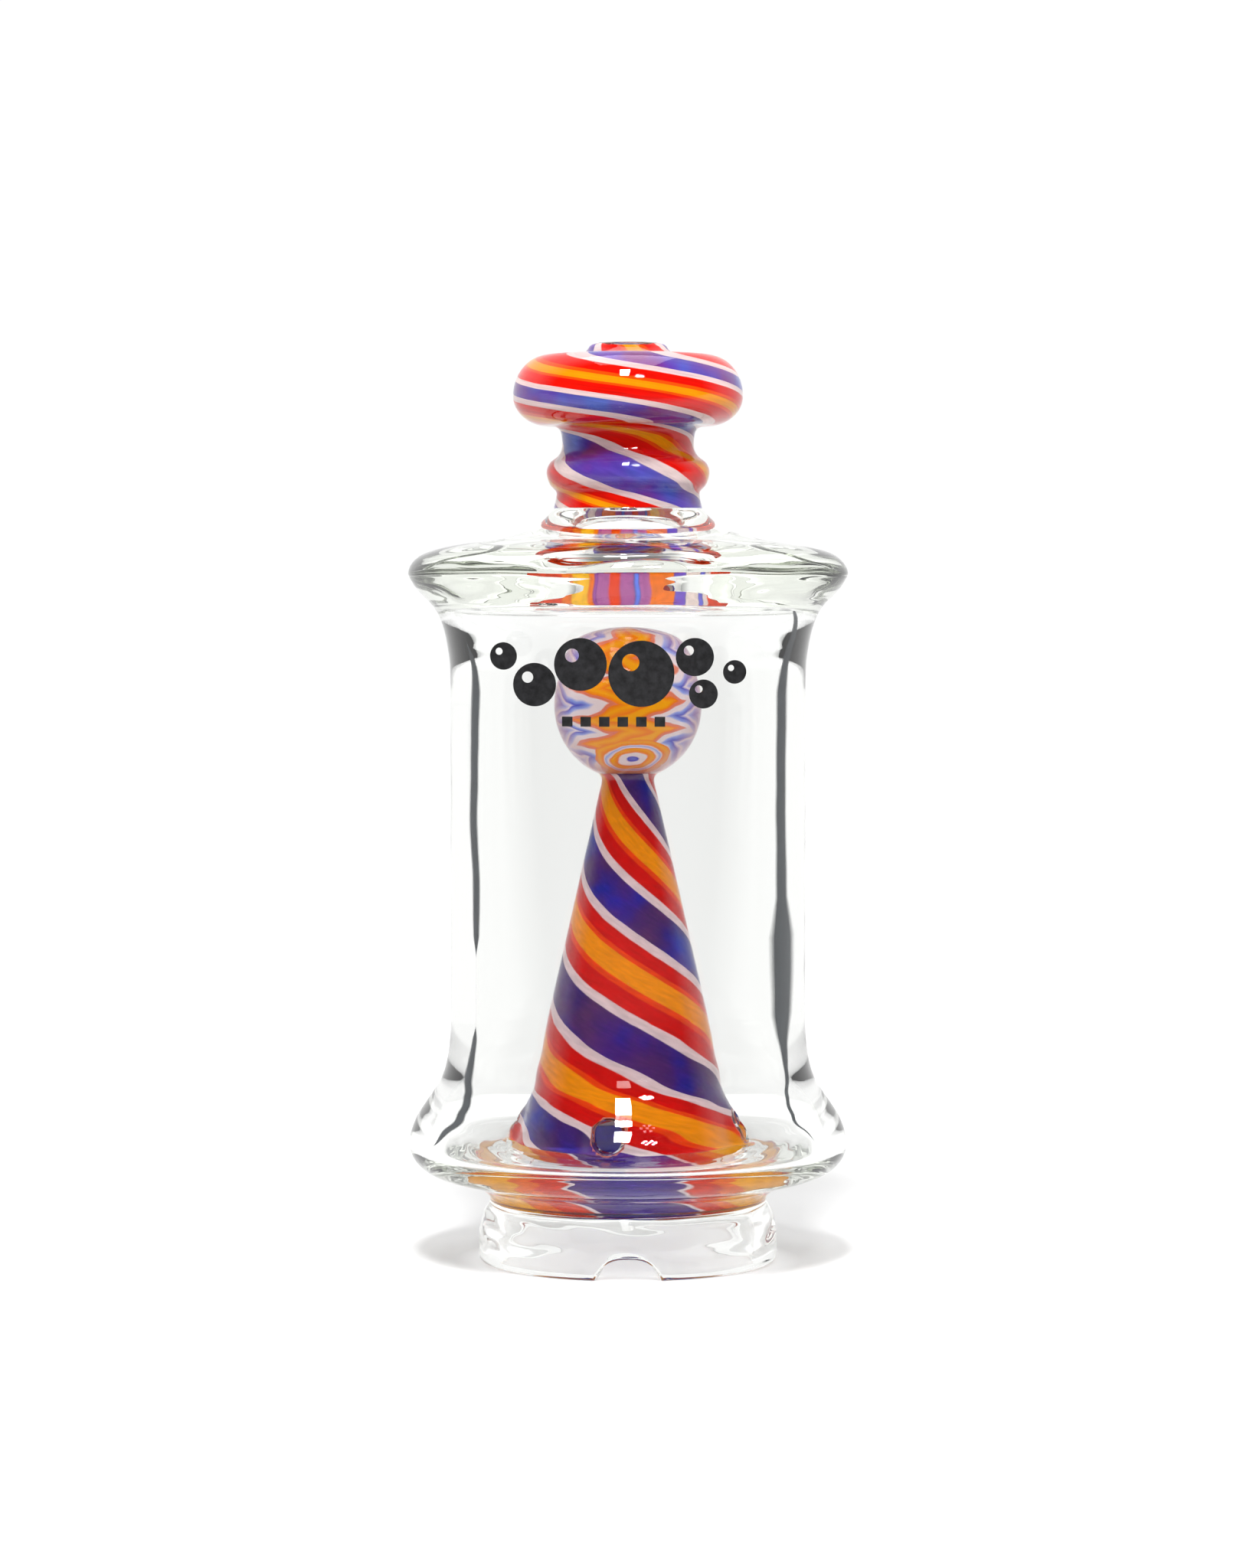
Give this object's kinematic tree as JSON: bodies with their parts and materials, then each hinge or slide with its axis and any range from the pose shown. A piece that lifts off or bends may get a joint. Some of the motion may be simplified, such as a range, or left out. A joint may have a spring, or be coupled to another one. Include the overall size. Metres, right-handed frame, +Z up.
{
  "type": "glass bubbler top",
  "caption": "Clear flanged glass can on a notched foot, with a spiral-striped percolator cone and ball inside and a matching striped neck and bulb mouthpiece on top.",
  "frame": {"origin": "centre of the foot's rest plane, on the symmetry axis", "axes": "+Z up the axis towards the mouthpiece, -Y towards the front with the printed mark and the air notch"},
  "size_m": [0.069, 0.069, 0.1443],
  "materials": {
    "clear_glass": "fire-polished, clear borosilicate",
    "striped_glass": "glossy coloured borosilicate, striped",
    "blue_glass": "glossy transparent cobalt",
    "white_glass": "glossy opal",
    "red_glass": "glossy opaque",
    "orange_glass": "glossy opaque",
    "yellow_glass": "glossy opaque",
    "ball_glass": "glossy, clear with a rosy tint",
    "ball_lining_glass": "glossy opaque zigzag linework",
    "black_print": "fired black enamel"
  },
  "bodies": {
    "root": {"foot_ring": "clear_glass", "waist_collar": "clear_glass", "floor_plate": "clear_glass", "lower_flange": "clear_glass", "can_wall": "clear_glass", "upper_flange": "clear_glass", "shoulder": "clear_glass", "neck_casing": "clear_glass", "neck_liner": "clear_glass", "bulb_casing": "clear_glass", "cone_liner": "clear_glass", "hole_lips": "clear_glass", "ball_collar": "clear_glass", "mouth_lip": "striped_glass", "neck_root_ring": "striped_glass", "mouthpiece_blue_canes": "blue_glass", "cone_blue_canes": "blue_glass", "mouthpiece_white_canes": "white_glass", "cone_white_canes": "white_glass", "mouthpiece_red_canes": "red_glass", "cone_red_canes": "red_glass", "mouthpiece_orange_canes": "orange_glass", "cone_orange_canes": "orange_glass", "mouthpiece_yellow_canes": "yellow_glass", "cone_yellow_canes": "yellow_glass", "ball_shell": "ball_glass", "ball_lining": "ball_lining_glass", "printed_mark": "black_print"}
  },
  "joints": []
}
